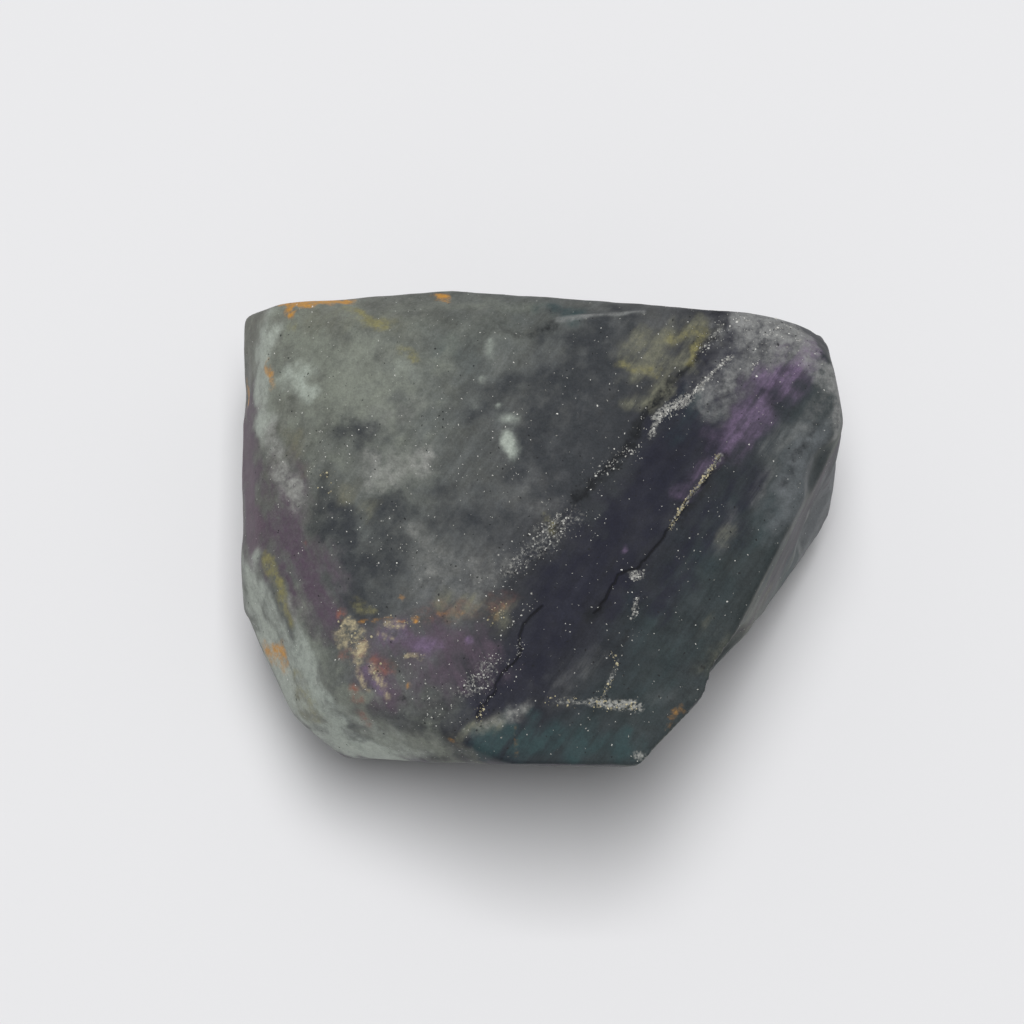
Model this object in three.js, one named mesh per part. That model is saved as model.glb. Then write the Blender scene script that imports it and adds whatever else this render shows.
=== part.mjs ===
// Raw fluorite: one cleaved, chipped and worn lump, lying on a flat cleavage face.
// Millimetres, +Z up. The origin is on the resting face, under the middle of the lump.
import * as THREE from "three";
import { ImprovedNoise } from "three/addons/math/ImprovedNoise.js";
import { mergeVertices } from "three/addons/utils/BufferGeometryUtils.js";

// Driving dimensions of the block that the lump was broken from.
const WIDTH = 48;
const DEPTH = 39.2;
const HEIGHT = 25;

// The surface: spacing of its points, how near to an edge they are pulled onto it, how far
// rubbing has rounded it, how close counts as the same place, and the low swells.
const POINT_SPACING = 1.35;
const EDGE_PULL = 0.55 * POINT_SPACING;
const WEAR_PASSES = 2;
const WEAR_STRENGTH = 0.45;
const SAME_PLACE = 1e-3;
const SWELLS = [
  { height: 0.3, length: 8.5 },
  { height: 0.14, length: 3.4 },
];

// Every place below is a share of the block: x and y from -1 to 1, z from 0 to 1.
const place = (x, y, z) => new THREE.Vector3((x * WIDTH) / 2, (y * DEPTH) / 2, z * HEIGHT);

// The heart is the point inside the lump that every ray starts from.
const HEART = place(0, 0, 0.5);

// A flat face. Heading is the way it looks in plan, in degrees from +X towards +Y. Dip is how
// far it leans: 0 looks straight up, 90 is an upright wall, and more than 90 is undercut.
function face(heading, dip, through) {
  const turn = THREE.MathUtils.degToRad(heading);
  const lean = THREE.MathUtils.degToRad(dip);
  const normal = new THREE.Vector3(
    Math.cos(turn) * Math.sin(lean),
    Math.sin(turn) * Math.sin(lean),
    Math.cos(lean),
  );
  return new THREE.Plane().setFromNormalAndCoplanarPoint(normal, through);
}

const BASE = face(0, 180, place(0, 0, 0));

const FACES = {
  base: BASE,
  top: face(270, 2.5, place(0, 0, 1)),
  leftFlankBack: face(184, 30, place(-0.71, 0.41, 1)),
  leftFlankFront: face(200, 33, place(-0.62, -0.51, 1)),
  leftWallBack: face(180, 68, place(-0.982, 0.41, 0.76)),
  leftWallFront: face(205, 66, place(-0.883, -0.338, 0.782)),
  frontLeftCorner: face(247, 75, place(-0.757, -0.776, 0.56)),
  frontWall: face(268.5, 102, place(-0.12, -0.965, 0.97)),
  lowerRightWall: face(318, 102.5, place(0.637, -0.136, 0.08)),
  rightFacet: face(332.5, 86, place(0.83, 0.086, 1)),
  rightShoulder: face(350, 88, place(1.005, 0.46, 0.2)),
  rightWall: face(10, 86, place(0.973, 0.57, 0.8)),
  upperRightCorner: face(50, 65, place(0.887, 0.777, 0.96)),
  backWallRight: face(84, 84, place(0.33, 0.93, 0.94)),
  backBevel: face(92, 42, place(0, 0.87, 1.01)),
  backWallLeft: face(94, 82, place(-0.58, 0.985, 0.94)),
  upperLeftCorner: face(138, 72, place(-0.975, 0.95, 0.8)),
  underFront: face(272, 126, place(0, -0.48, 0)),
  underRight: face(303, 124, place(0.38, -0.36, 0)),
  underRightWall: face(4, 96, place(0.955, 0.2, 0)),
  underBack: face(86, 110, place(0, 0.8, 0)),
  underLeft: face(180, 91, place(-1, 0.15, 0)),
  underLeftWall: face(205, 95, place(-0.949, -0.376, 0.58)),
  underLeftFront: face(228, 100, place(-0.705, -0.632, 0)),
};

// A ledge is a cleavage step: the stone is gone where a point is outside both of its faces.
const LEDGES = [
  [face(88, 86, place(0.2, 0.9, 0.5)), face(60, 152, place(0.2, 0.95, 0.46))],
  [face(4, 94, place(0.93, 0.4, 0.3)), face(350, 160, place(0.95, 0.3, 0.24))],
];

// A bite is a shell-shaped chip: a ball, touching the lump from outside, takes it away.
const bite = (radius, centre) => new THREE.Sphere(centre, radius);

const BITES = {
  backScallop: bite(5.8, place(-0.09, 0.985, 1.19)),
  backNick: bite(3.2, place(0.27, 1.05, 1.08)),
  lowerRightNotch: bite(8, place(0.79, -0.72, 0.8)),
  lowerRightNick: bite(3.4, place(0.6, -0.82, 1.02)),
  shoulderNick: bite(4, place(1.005, 0.168, 1.01)),
  leftHollow: bite(9, place(-1.36, 0.68, 0.75)),
  leftDip: bite(7, place(-1.285, 0.12, 0.7)),
  frontHollow: bite(11, place(0.1, -1.46, 0.62)),
  backHollow: bite(12, place(-0.45, 1.53, 0.45)),
};

// The faces that a ray from the heart leaves through, nearest first.
function facesAlong(ray) {
  return Object.values(FACES)
    .map((plane) => ({ plane, run: ray.distanceToPlane(plane) ?? Infinity }))
    .sort((a, b) => a.run - b.run);
}

// How far a ray runs before a ledge or a bite stops it.
function chipAlong(ray) {
  const meets = (plane) => ray.distanceToPlane(plane) ?? Infinity;
  const enters = (ball) => {
    const at = ray.intersectSphere(ball, new THREE.Vector3());
    return at ? at.distanceTo(ray.origin) : Infinity;
  };
  return Math.min(
    ...LEDGES.map(([riser, tread]) => Math.max(meets(riser), meets(tread))),
    ...Object.values(BITES).map(enters),
  );
}

// A point that is close to the edge between its own face and the next slides onto that edge.
function slideToEdge(point, own, next) {
  const along = next.normal.clone().addScaledVector(own.normal, -next.normal.dot(own.normal));
  const shift = along.multiplyScalar(-next.distanceToPoint(point) / along.lengthSq());
  return shift.length() < EDGE_PULL ? point.add(shift) : point;
}

// The place on the broken surface that lies in one direction from the heart.
function surfaceAt(heading) {
  const ray = new THREE.Ray(HEART, heading);
  const [own, next] = facesAlong(ray);
  const chip = chipAlong(ray);
  const point = ray.at(Math.min(own.run, chip), new THREE.Vector3());
  return chip < own.run ? point : slideToEdge(point, own.plane, next.plane);
}

// The block's own skin: an even grid of shared points, and the corners of its square cells.
function blockSkin() {
  const sizes = [WIDTH, DEPTH, HEIGHT];
  const steps = sizes.map((size) => Math.round(size / POINT_SPACING));
  const box = new THREE.BoxGeometry(...sizes, ...steps);
  box.deleteAttribute("normal");
  box.deleteAttribute("uv");
  const skin = mergeVertices(box, SAME_PLACE);
  // The box lists a cell as two triangles, (a, b, d) and (b, c, d).
  const cells = [];
  for (let i = 0; i < skin.index.count; i += 6) {
    const [a, b, d, , c] = skin.index.array.slice(i, i + 6);
    cells.push([a, b, c, d]);
  }
  return { skin, cells };
}

// Each point's neighbours along the sides of the cells.
function neighboursOf(cells, count) {
  const near = Array.from({ length: count }, () => new Set());
  cells.forEach((cell) => {
    cell.forEach((a, k) => {
      const b = cell[(k + 1) % cell.length];
      near[a].add(b);
      near[b].add(a);
    });
  });
  return near.map((set) => [...set]);
}

// Each cell becomes two triangles, along the diagonal that stands further out.
function trianglesOf(cells, points) {
  const standsOut = (p, q) => points[p].clone().lerp(points[q], 0.5).distanceTo(HEART);
  return cells.flatMap(([a, b, c, d]) =>
    standsOut(a, c) > standsOut(b, d) ? [a, b, c, a, c, d] : [a, b, d, b, c, d],
  );
}

// Rubbing: each point moves part of the way to the middle of its neighbours.
function wear(points, near) {
  return points.map((point, i) => {
    const middle = new THREE.Vector3();
    near[i].forEach((j) => middle.add(points[j]));
    return point.clone().lerp(middle.divideScalar(near[i].length), WEAR_STRENGTH);
  });
}

// The height of the low swells at a point.
const noise = new ImprovedNoise();
function swell(point) {
  return SWELLS.reduce((sum, { height, length }) => {
    const at = point.clone().divideScalar(length);
    return sum + height * noise.noise(at.x, at.y, at.z);
  }, 0);
}

function fluoriteGeometry() {
  const { skin, cells } = blockSkin();
  const position = skin.attributes.position;
  const onBase = [];
  let points = Array.from({ length: position.count }, (_, i) => {
    const heading = new THREE.Vector3().fromBufferAttribute(position, i).normalize();
    const point = surfaceAt(heading);
    onBase.push(point.z < SAME_PLACE);
    return onBase[i] ? point : point.addScaledVector(heading, swell(point));
  });
  const near = neighboursOf(cells, points.length);
  for (let pass = 0; pass < WEAR_PASSES; pass += 1) {
    points = wear(points, near);
  }
  points.forEach((point, i) => position.setXYZ(i, point.x, point.y, onBase[i] ? 0 : point.z));
  skin.setIndex(trianglesOf(cells, points));
  skin.computeBoundingBox();
  const middle = skin.boundingBox.getCenter(new THREE.Vector3());
  skin.translate(-middle.x, -middle.y, 0);
  skin.computeVertexNormals();
  return skin;
}

const fluoriteFinish = new THREE.MeshStandardMaterial({
  color: 0x5b6160,
  roughness: 0.5,
  metalness: 0,
});

const fluorite = new THREE.Mesh(fluoriteGeometry(), fluoriteFinish);
fluorite.name = "fluorite";

const rawFluorite = new THREE.Group();
rawFluorite.add(fluorite);

export default rawFluorite;
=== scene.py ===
# %% [markdown]
# # A raw fluorite lump
# This stone broke out of a bigger crystal along flat cleavage faces, and was then rubbed and
# chipped. It is one piece, so the scene has one body to dress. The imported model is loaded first,
# because it fixes where the stone lies and how big it is.

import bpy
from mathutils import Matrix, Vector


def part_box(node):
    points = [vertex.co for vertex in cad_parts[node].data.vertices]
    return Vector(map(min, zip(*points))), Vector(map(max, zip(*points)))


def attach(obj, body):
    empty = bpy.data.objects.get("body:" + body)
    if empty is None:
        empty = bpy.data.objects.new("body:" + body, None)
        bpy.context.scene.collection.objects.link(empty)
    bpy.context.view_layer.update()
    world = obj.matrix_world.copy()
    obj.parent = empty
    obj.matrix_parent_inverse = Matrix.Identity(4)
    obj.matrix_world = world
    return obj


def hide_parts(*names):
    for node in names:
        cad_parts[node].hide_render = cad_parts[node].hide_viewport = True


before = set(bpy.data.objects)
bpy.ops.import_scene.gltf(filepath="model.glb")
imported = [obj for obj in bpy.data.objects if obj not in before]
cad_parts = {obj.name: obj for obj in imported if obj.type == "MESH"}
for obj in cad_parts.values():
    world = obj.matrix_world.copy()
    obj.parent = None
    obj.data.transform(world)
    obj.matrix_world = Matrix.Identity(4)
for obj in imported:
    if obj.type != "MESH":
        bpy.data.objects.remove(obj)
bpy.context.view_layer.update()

import math
import random

import bpy
import numpy as np
from mathutils import Vector

MM = 0.001
low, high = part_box("fluorite")
print("the stone measures, in mm:", [round(side / MM, 1) for side in high - low])

# %% [markdown]
# ## Camera
# The photo looks down on the stone at a steep angle. The camera comes first, because the marks
# on the stone are placed later by looking along its lines of sight. The long lens keeps the
# outline nearly free of perspective.

# %% Set up the camera
PIXEL = 0.0807 * MM
FRAME_PIXELS = 1024
VIEW_ELEVATION = math.radians(75)
VIEW_DISTANCE = 330 * MM
VIEW_TARGET = Vector((-2.45, 3.05, 13.83)) * MM

step_back = Vector((0, -math.cos(VIEW_ELEVATION), math.sin(VIEW_ELEVATION)))
bpy.ops.object.select_all(action="DESELECT")
bpy.ops.object.camera_add(
    location=VIEW_TARGET + step_back * VIEW_DISTANCE,
    rotation=(math.pi / 2 - VIEW_ELEVATION, 0, 0),
)
camera = bpy.context.object
camera.name = "photo_camera"
camera.data.lens = camera.data.sensor_width * VIEW_DISTANCE / (PIXEL * FRAME_PIXELS)
camera.data.clip_start = 10 * MM
bpy.context.scene.camera = camera
bpy.context.view_layer.update()
print("lens, in mm:", round(camera.data.lens, 1))

# %% [markdown]
# ## Cleaving the block
# Fluorite splits along flat planes, so the stone is made the way it broke: a block is added and
# cut by one plane after another. Each face has a heading, the way it looks in plan, and a dip:
# 0 looks up, 90 is an upright wall and more is undercut. Places are shares of the block.

# %% Add a block and cleave it
BLOCK = Vector((48, 39.2, 25)) * MM
ROUGH_BLOCK = 1.6
FACES = {
    "base": (0, 180, (0, 0, 0)),
    "top": (270, 2.5, (0, 0, 1)),
    "left flank, back": (184, 30, (-0.71, 0.41, 1)),
    "left flank, front": (200, 33, (-0.62, -0.51, 1)),
    "left wall, back": (180, 68, (-0.982, 0.41, 0.76)),
    "left wall, front": (205, 66, (-0.883, -0.338, 0.782)),
    "front left corner": (247, 75, (-0.757, -0.776, 0.56)),
    "front wall": (268.5, 102, (-0.12, -0.965, 0.97)),
    "lower right wall": (318, 102.5, (0.637, -0.136, 0.08)),
    "right facet": (332.5, 86, (0.83, 0.086, 1)),
    "right shoulder": (350, 88, (1.005, 0.46, 0.2)),
    "right wall": (10, 86, (0.973, 0.57, 0.8)),
    "upper right corner": (50, 65, (0.887, 0.777, 0.96)),
    "back wall, right": (84, 84, (0.33, 0.93, 0.94)),
    "back bevel": (92, 42, (0, 0.87, 1.01)),
    "back wall, left": (94, 82, (-0.58, 0.985, 0.94)),
    "upper left corner": (138, 72, (-0.975, 0.95, 0.8)),
    "under front": (272, 126, (0, -0.48, 0)),
    "under right": (303, 124, (0.38, -0.36, 0)),
    "under right wall": (4, 96, (0.955, 0.2, 0)),
    "under back": (86, 110, (0, 0.8, 0)),
    "under left": (180, 91, (-1, 0.15, 0)),
    "under left wall": (205, 95, (-0.949, -0.376, 0.58)),
    "under left front": (228, 100, (-0.705, -0.632, 0)),
}


def spot_in_block(shares):
    x, y, z = shares
    return Vector((x * BLOCK.x / 2, y * BLOCK.y / 2, z * BLOCK.z))


def facing(heading, dip):
    turn, lean = math.radians(heading), math.radians(dip)
    flat = math.sin(lean)
    return Vector((math.cos(turn) * flat, math.sin(turn) * flat, math.cos(lean)))


def add_block(name):
    bpy.ops.object.select_all(action="DESELECT")
    bpy.ops.mesh.primitive_cube_add(size=1, location=(0, 0, BLOCK.z / 2))
    block = bpy.context.object
    block.name = name
    block.scale = BLOCK * ROUGH_BLOCK
    bpy.ops.object.transform_apply(location=True, rotation=True, scale=True)
    return block


def cleave(heading, dip, shares, keep_inside=True):
    bpy.ops.mesh.select_all(action="SELECT")
    bpy.ops.mesh.bisect(
        plane_co=spot_in_block(shares),
        plane_no=facing(heading, dip),
        use_fill=True,
        clear_outer=keep_inside,
        clear_inner=not keep_inside,
    )


stone = add_block("fluorite_stone")
bpy.ops.object.mode_set(mode="EDIT")
for face in FACES.values():
    cleave(*face)
bpy.ops.object.mode_set(mode="OBJECT")
print("the cleaved block has", len(stone.data.polygons), "faces")

# %% [markdown]
# ## Tools for carving
# A cleavage step is a wedge gone from a wall, and a chip is a shallow shell. Both could be sculpted,
# but the Boolean modifier gives their crisp rims: the shape that is gone is modelled as a tool, and
# is taken away from the stone. Tools that are joined first are all cut in one go.

# %% Carving helpers
def apply_modifier(piece, kind, **settings):
    modifier = piece.modifiers.new(kind.lower(), kind)
    for name, value in settings.items():
        setattr(modifier, name, value)
    bpy.context.view_layer.objects.active = piece
    bpy.ops.object.modifier_apply(modifier=modifier.name)


def carve(tool):
    apply_modifier(stone, "BOOLEAN", operation="DIFFERENCE", object=tool, use_self=True)
    bpy.data.objects.remove(tool)


def add_ball(radius, centre, detail):
    bpy.ops.mesh.primitive_ico_sphere_add(subdivisions=detail, radius=radius, location=centre)
    return bpy.context.object


def join(pieces):
    bpy.ops.object.select_all(action="DESELECT")
    for piece in pieces:
        piece.select_set(True)
    bpy.context.view_layer.objects.active = pieces[0]
    bpy.ops.object.join()
    return bpy.context.object


print("before carving, the stone has", len(stone.data.vertices), "corners")

# %% [markdown]
# ## Where a stone gets knocked
# Small chips sit along the sharp edges, because an edge is what hits first. Wider and flatter scars
# sit low on the walls. Both are found in code: an edge by the angle between its two faces, and a
# wall by how far its face looks up or down. The dice have fixed seeds, so each run is the same.

# %% Find the edges and the walls
SHARP_EDGE = math.radians(24)
SCAR_TOP = 14 * MM
LEVEL_WALL = (-0.75, 0.2)
dice = random.Random(7)
scar_dice = random.Random(11)


def sharp_edges(piece):
    """Each sharp edge's two ends, and the way that it points out."""
    mesh = piece.data
    beside = {}
    for polygon in mesh.polygons:
        for key in polygon.edge_keys:
            beside.setdefault(key, []).append(polygon.normal)
    found = []
    for (a, b), normals in beside.items():
        ends = mesh.vertices[a].co.copy(), mesh.vertices[b].co.copy()
        on_base = max(end.z for end in ends) < MM
        if not on_base and normals[0].angle(normals[-1]) > SHARP_EDGE:
            found.append((*ends, (normals[0] + normals[-1]).normalized()))
    return found


def wall_spots(piece, count):
    """Random places on the walls, each with the way that it looks."""
    lowest, highest = LEVEL_WALL
    walls = [face for face in piece.data.polygons if lowest < face.normal.z < highest]
    found = []
    for face in scar_dice.choices(walls, weights=[face.area for face in walls], k=count):
        corners = np.array([piece.data.vertices[i].co for i in face.vertices])
        shares = [scar_dice.random() ** 2 for _ in corners]
        spot = Vector(np.average(corners, axis=0, weights=shares))
        spot.z = min(spot.z, SCAR_TOP)
        found.append((spot, face.normal.copy()))
    return found


edges = sharp_edges(stone)
lengths = [(b - a).length for a, b, _ in edges]
print(len(edges), "sharp edges, together in mm:", round(sum(lengths) / MM))

# %% [markdown]
# ## Steps, chips and scars
# The wedges are blocks that are cleaved the other way round. The chips and scars are balls that
# reach a little way into the stone: a big ball that barely touches leaves a wide, flat shell.

# %% Cut the steps and chips
LEDGES = [
    [(88, 86, (0.2, 0.9, 0.5)), (60, 152, (0.2, 0.95, 0.46))],
    [(4, 94, (0.93, 0.4, 0.3)), (350, 160, (0.95, 0.3, 0.24))],
]
BITES = {
    "back scallop": (5.8, (-0.09, 0.985, 1.19)),
    "back nick": (3.2, (0.27, 1.05, 1.08)),
    "lower right notch": (8, (0.79, -0.72, 0.8)),
    "lower right nick": (3.4, (0.6, -0.82, 1.02)),
    "shoulder nick": (4, (1.005, 0.168, 1.01)),
    "left hollow": (9, (-1.36, 0.68, 0.75)),
    "left dip": (7, (-1.285, 0.12, 0.7)),
    "front hollow": (11, (0.1, -1.46, 0.62)),
    "back hollow": (12, (-0.45, 1.53, 0.45)),
}
EDGE_CHIPS = 90
CHIP_RADIUS = (0.9 * MM, 2.6 * MM)
CHIP_DEPTH = (0.1 * MM, 0.42 * MM)
CHIP_DETAIL = 2
WALL_SCARS = 34
SCAR_RADIUS = (4 * MM, 11 * MM)
SCAR_DEPTH = (0.2 * MM, 0.65 * MM)
SHELL_DETAIL = 4

chips = []
for _ in range(EDGE_CHIPS):
    a, b, outward = dice.choices(edges, weights=lengths)[0]
    radius = dice.uniform(*CHIP_RADIUS)
    reach = radius - dice.uniform(*CHIP_DEPTH)
    chips.append(add_ball(radius, a.lerp(b, dice.random()) + outward * reach, detail=CHIP_DETAIL))
for spot, outward in wall_spots(stone, WALL_SCARS):
    radius = scar_dice.uniform(*SCAR_RADIUS)
    reach = radius - scar_dice.uniform(*SCAR_DEPTH)
    chips.append(add_ball(radius, spot + outward * reach, detail=SHELL_DETAIL))
for radius, shares in BITES.values():
    chips.append(add_ball(radius * MM, spot_in_block(shares), detail=SHELL_DETAIL))

for riser, tread in LEDGES:
    wedge = add_block("wedge")
    bpy.ops.object.mode_set(mode="EDIT")
    cleave(*riser, keep_inside=False)
    cleave(*tread, keep_inside=False)
    bpy.ops.object.mode_set(mode="OBJECT")
    carve(wedge)
carve(join(chips))
print("with steps and chips it has", len(stone.data.polygons), "faces")

# %% [markdown]
# ## Wear
# A loose stone has no knife edges. Voxel remesh gives the whole skin an even net of small faces,
# and Smooth then rounds what stands out, as rubbing does. A bevel would round every edge alike,
# and the chips' thin rims would break it. The stone is then set on the middle of the CAD box.

# %% Remesh and wear the edges
VOXEL = 0.33 * MM
RUB = 0.5
RUB_PASSES = 7
apply_modifier(stone, "REMESH", mode="VOXEL", voxel_size=VOXEL)
apply_modifier(stone, "SMOOTH", factor=RUB, iterations=RUB_PASSES)


def places(piece):
    flat = np.empty(len(piece.data.vertices) * 3)
    piece.data.vertices.foreach_get("co", flat)
    return flat.reshape(-1, 3)


def set_places(piece, points):
    piece.data.vertices.foreach_set("co", points.ravel())
    piece.data.update()


points = places(stone)
middle = (points.min(0) + points.max(0)) / 2
points -= (*middle[:2], points[:, 2].min())
points += (*((low + high) / 2)[:2], low.z)
set_places(stone, points)
print("worn skin:", len(stone.data.vertices), "points")

# %% [markdown]
# ## Swells
# The broken faces are not quite flat. Displace pushes the skin along its normals by three soft
# cloud patterns, from low swells a few millimetres long to a fine rubbed texture. Light from above
# grazes the walls and makes their swells look deeper, so a vertex group calms the walls.

# %% Add the swells
SWELLS = {
    "broad": (6.5 * MM, 0.42 * MM),
    "middle": (2.2 * MM, 0.07 * MM),
    "fine": (0.8 * MM, 0.025 * MM),
}
CALM_WALL = 0.7
BASE_SKIN = 0.25 * MM


def normals(piece):
    flat = np.empty(len(piece.data.vertices) * 3)
    piece.data.vertices.foreach_get("normal", flat)
    return flat.reshape(-1, 3)


def brushed_group(piece, name, weights):
    group = piece.vertex_groups.new(name=name)
    for i in np.flatnonzero(weights > 0.01):
        group.add([int(i)], float(weights[i]), "REPLACE")
    return name


level = np.abs(normals(stone)[:, 2])
swollen = brushed_group(stone, "swollen", CALM_WALL + (1 - CALM_WALL) * level)
for name, (length, height) in SWELLS.items():
    clouds = bpy.data.textures.new(name + "_swell", "CLOUDS")
    clouds.noise_scale = length
    clouds.noise_depth = 2
    apply_modifier(
        stone, "DISPLACE", texture=clouds, texture_coords="LOCAL",
        vertex_group=swollen, strength=height, mid_level=0.5,
    )
stone.vertex_groups.clear()
points = places(stone)
points[points[:, 2] < low.z + BASE_SKIN, 2] = low.z
set_places(stone, points)
print("after the swells, in mm:", np.round((points.max(0) - points.min(0)) / MM, 2))

# %% [markdown]
# ## Finding a mark on the stone
# The marks are known from the photo, as pixels. A line of sight from the camera through a pixel
# meets the skin at one point, and that point in space is where the mark goes. So a mark stays on
# the stone in every view, which a picture projected from the camera would not.

# %% Lines of sight
from mathutils.bvhtree import BVHTree


def sight(px, py):
    """The way from the camera through one pixel of the photo."""
    across = (px - FRAME_PIXELS / 2) * PIXEL
    up = (FRAME_PIXELS / 2 - py) * PIXEL
    return (camera.matrix_world.to_3x3() @ Vector((across, up, -VIEW_DISTANCE))).normalized()


def skin_of(piece):
    return BVHTree.FromObject(piece, bpy.context.evaluated_depsgraph_get())


def mark(px, py):
    """The point of the skin under one pixel, and the normal there."""
    place, normal, _, _ = skin.ray_cast(camera.location, sight(px, py))
    return place, normal


skin = skin_of(stone)
print("the middle of the photo is at, in mm:", [round(c / MM, 1) for c in mark(512, 512)[0]])

# %% [markdown]
# ## Brush strokes
# A stroke is a trail of points on the skin, and it reaches every point that is near the trail. On
# the sides that the photo does not show, a spot is given as shares of the block. Moving the points
# a little by noise before measuring gives a stroke a ragged edge. The noise starts from the clock
# unless it gets a seed.

# %% Brush strokes
from mathutils import noise as fractal

RAGGED_LENGTH = 1.8 * MM
RAGGED_SHARE = 0.5
RAGGED_DEPTH = 3
RAGGED_SEED = 5
TINY = 1e-12
fractal.seed_set(RAGGED_SEED)


def trail(spots):
    """Points of the skin: under a pixel, or next to a place in the block, as three shares."""
    found = []
    for spot in spots:
        if len(spot) == 2:
            place = mark(*spot)[0]
        else:
            place = skin.find_nearest(spot_in_block(spot))[0]
        if place is not None:
            found.append(np.array(place))
    return found


def distance_to(path, points):
    nearest = np.full(len(points), np.inf)
    for a, b in zip(path, path[1:] or path):
        side = b - a
        length = max(side @ side, TINY)
        along = np.clip((points - a) @ side / length, 0, 1)
        gap = np.linalg.norm(points - a - along[:, None] * side, axis=1)
        nearest = np.minimum(nearest, gap)
    return nearest


def raggedness(points):
    """A random shift for each point, about as long as 1."""
    scaled = (Vector(point) / RAGGED_LENGTH for point in points)
    return np.array([fractal.turbulence_vector(spot, RAGGED_DEPTH, False) for spot in scaled])


def brush(points, pixels, width, shifts=0):
    """1 on the trail, fading to 0 at the brush's edge. The width is in pixels."""
    reach = width * PIXEL
    moved = points + shifts * reach * RAGGED_SHARE
    fade = np.clip(1 - distance_to(trail(pixels), moved) / reach, 0, 1)
    return fade * fade * (3 - 2 * fade)


def strongest(points, strokes, shifts=0):
    """The highest of several strokes, each with a width, a strength and a trail."""
    marks = [strength * brush(points, way, width, shifts) for width, strength, way in strokes]
    return np.max(marks, axis=0)


dab = brush(places(stone), [(512, 512)], width=50)
print("a dab 50 pixels wide reaches", np.count_nonzero(dab), "points")

# %% [markdown]
# ## Rounder corners
# Some edges are rubbed rounder than the rest: the crests on the left, the back corners and the
# ridge on the right. They are brushed into a vertex group, and Smooth gets many more passes there.

# %% Round the worn crests
WORN_CRESTS = [
    (60, 1, [(300, 330), (318, 420), (332, 520), (348, 600), (368, 700), (380, 750)]),
    (45, 1, [(262, 315), (300, 308), (340, 305)]),
    (55, 1, [(262, 330), (260, 400), (260, 470), (262, 530)]),
    (40, 1, [(258, 540), (266, 585), (292, 650), (325, 725), (345, 750)]),
    (70, 1, [(252, 590), (262, 625), (280, 670), (305, 720)]),
    (50, 1, [(790, 330), (820, 360), (832, 410)]),
    (40, 0.8, [(800, 400), (785, 450), (765, 500), (740, 560)]),
    (30, 0.6, [(480, 325), (430, 320), (380, 318)]),
]
WORN_PASSES = 90

worn = brushed_group(stone, "worn", strongest(places(stone), WORN_CRESTS))
apply_modifier(stone, "SMOOTH", factor=RUB, iterations=WORN_PASSES, vertex_group=worn)
stone.vertex_groups.clear()
skin = skin_of(stone)
print("worn crests:", len(WORN_CRESTS))

# %% [markdown]
# ## Cracks and pits
# Hairline cracks run down the top face. A groove needs finer faces than the rest, so the faces
# along each trail are selected and subdivided, and Displace then sinks the points of a vertex
# group that was brushed along the trail. A crack never runs straight, so its trail is first cut
# into short steps that are nudged sideways.

# %% Sink the cracks and pits
ZONE_EDGE = [(723, 325), (701, 353), (672, 384), (644, 418), (628, 446), (600, 474), (577, 502)]
CRACKS = {
    "long crack": (1, [
        (669, 528), (656, 547), (645, 560), (636, 569), (622, 573), (601, 603), (594, 613),
    ]),
    "dark crack": (1, [
        (541, 607), (529, 616), (522, 624), (519, 639), (521, 648), (516, 660), (506, 671),
    ]),
    "crack's tail": (0.8, [(506, 671), (497, 681), (492, 696), (482, 706), (478, 719)]),
    "zone edge": (0.3, ZONE_EDGE),
    "cream seam": (0.8, [(719, 456), (712, 470), (701, 484), (689, 499), (678, 518), (669, 528)]),
}
PITS = [
    (9, 1, [(323, 478)]),
    (7, 1, [(348, 432)]),
    (7, 0.8, [(404, 700)]),
    (9, 0.7, [(470, 415)]),
    (6, 0.8, [(370, 507)]),
    (8, 0.7, [(650, 640)]),
    (12, 1, [(504, 327), (521, 333), (543, 328)]),
]
FINE_BAND = 6
CRACK_WIDTH = 1.5
CRACK_STEP = 5
CRACK_NUDGE = 1.1
CRACK_DEPTH = 0.2 * MM
PIT_DEPTH = 0.18 * MM


def jagged(pixels):
    steps = []
    for (ax, ay), (bx, by) in zip(pixels, pixels[1:]):
        count = max(1, round(math.dist((ax, ay), (bx, by)) / CRACK_STEP))
        for share in np.arange(count) / count:
            x = ax + (bx - ax) * share + dice.gauss(0, CRACK_NUDGE)
            y = ay + (by - ay) * share + dice.gauss(0, CRACK_NUDGE)
            steps.append((x, y))
    return steps + [pixels[-1]]


def select_near(piece, weights):
    chosen = weights > 0
    for polygon in piece.data.polygons:
        polygon.select = any(chosen[i] for i in polygon.vertices)


def sink(piece, name, weights, depth):
    group = brushed_group(piece, name, weights)
    apply_modifier(piece, "DISPLACE", vertex_group=group, strength=-depth, mid_level=0)
    piece.vertex_groups.clear()


crack_trails = [(strength, jagged(pixels)) for strength, pixels in CRACKS.values()]
bpy.ops.object.select_all(action="DESELECT")
stone.select_set(True)
bpy.context.view_layer.objects.active = stone
for _ in range(2):
    near_cracks = strongest(places(stone), [(FINE_BAND, 1, way) for _, way in crack_trails])
    select_near(stone, near_cracks)
    bpy.ops.object.mode_set(mode="EDIT")
    bpy.ops.mesh.select_mode(type="FACE")
    bpy.ops.mesh.subdivide(number_cuts=1)
    bpy.ops.object.mode_set(mode="OBJECT")
in_cracks = strongest(places(stone), [(CRACK_WIDTH, *crack) for crack in crack_trails])
sink(stone, "cracks", in_cracks, CRACK_DEPTH)
sink(stone, "pits", strongest(places(stone), PITS), PIT_DEPTH)
bpy.ops.object.shade_smooth()
triangles = sum(len(polygon.vertices) - 2 for polygon in stone.data.polygons)
print("the finished skin has", triangles, "triangles")

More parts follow.
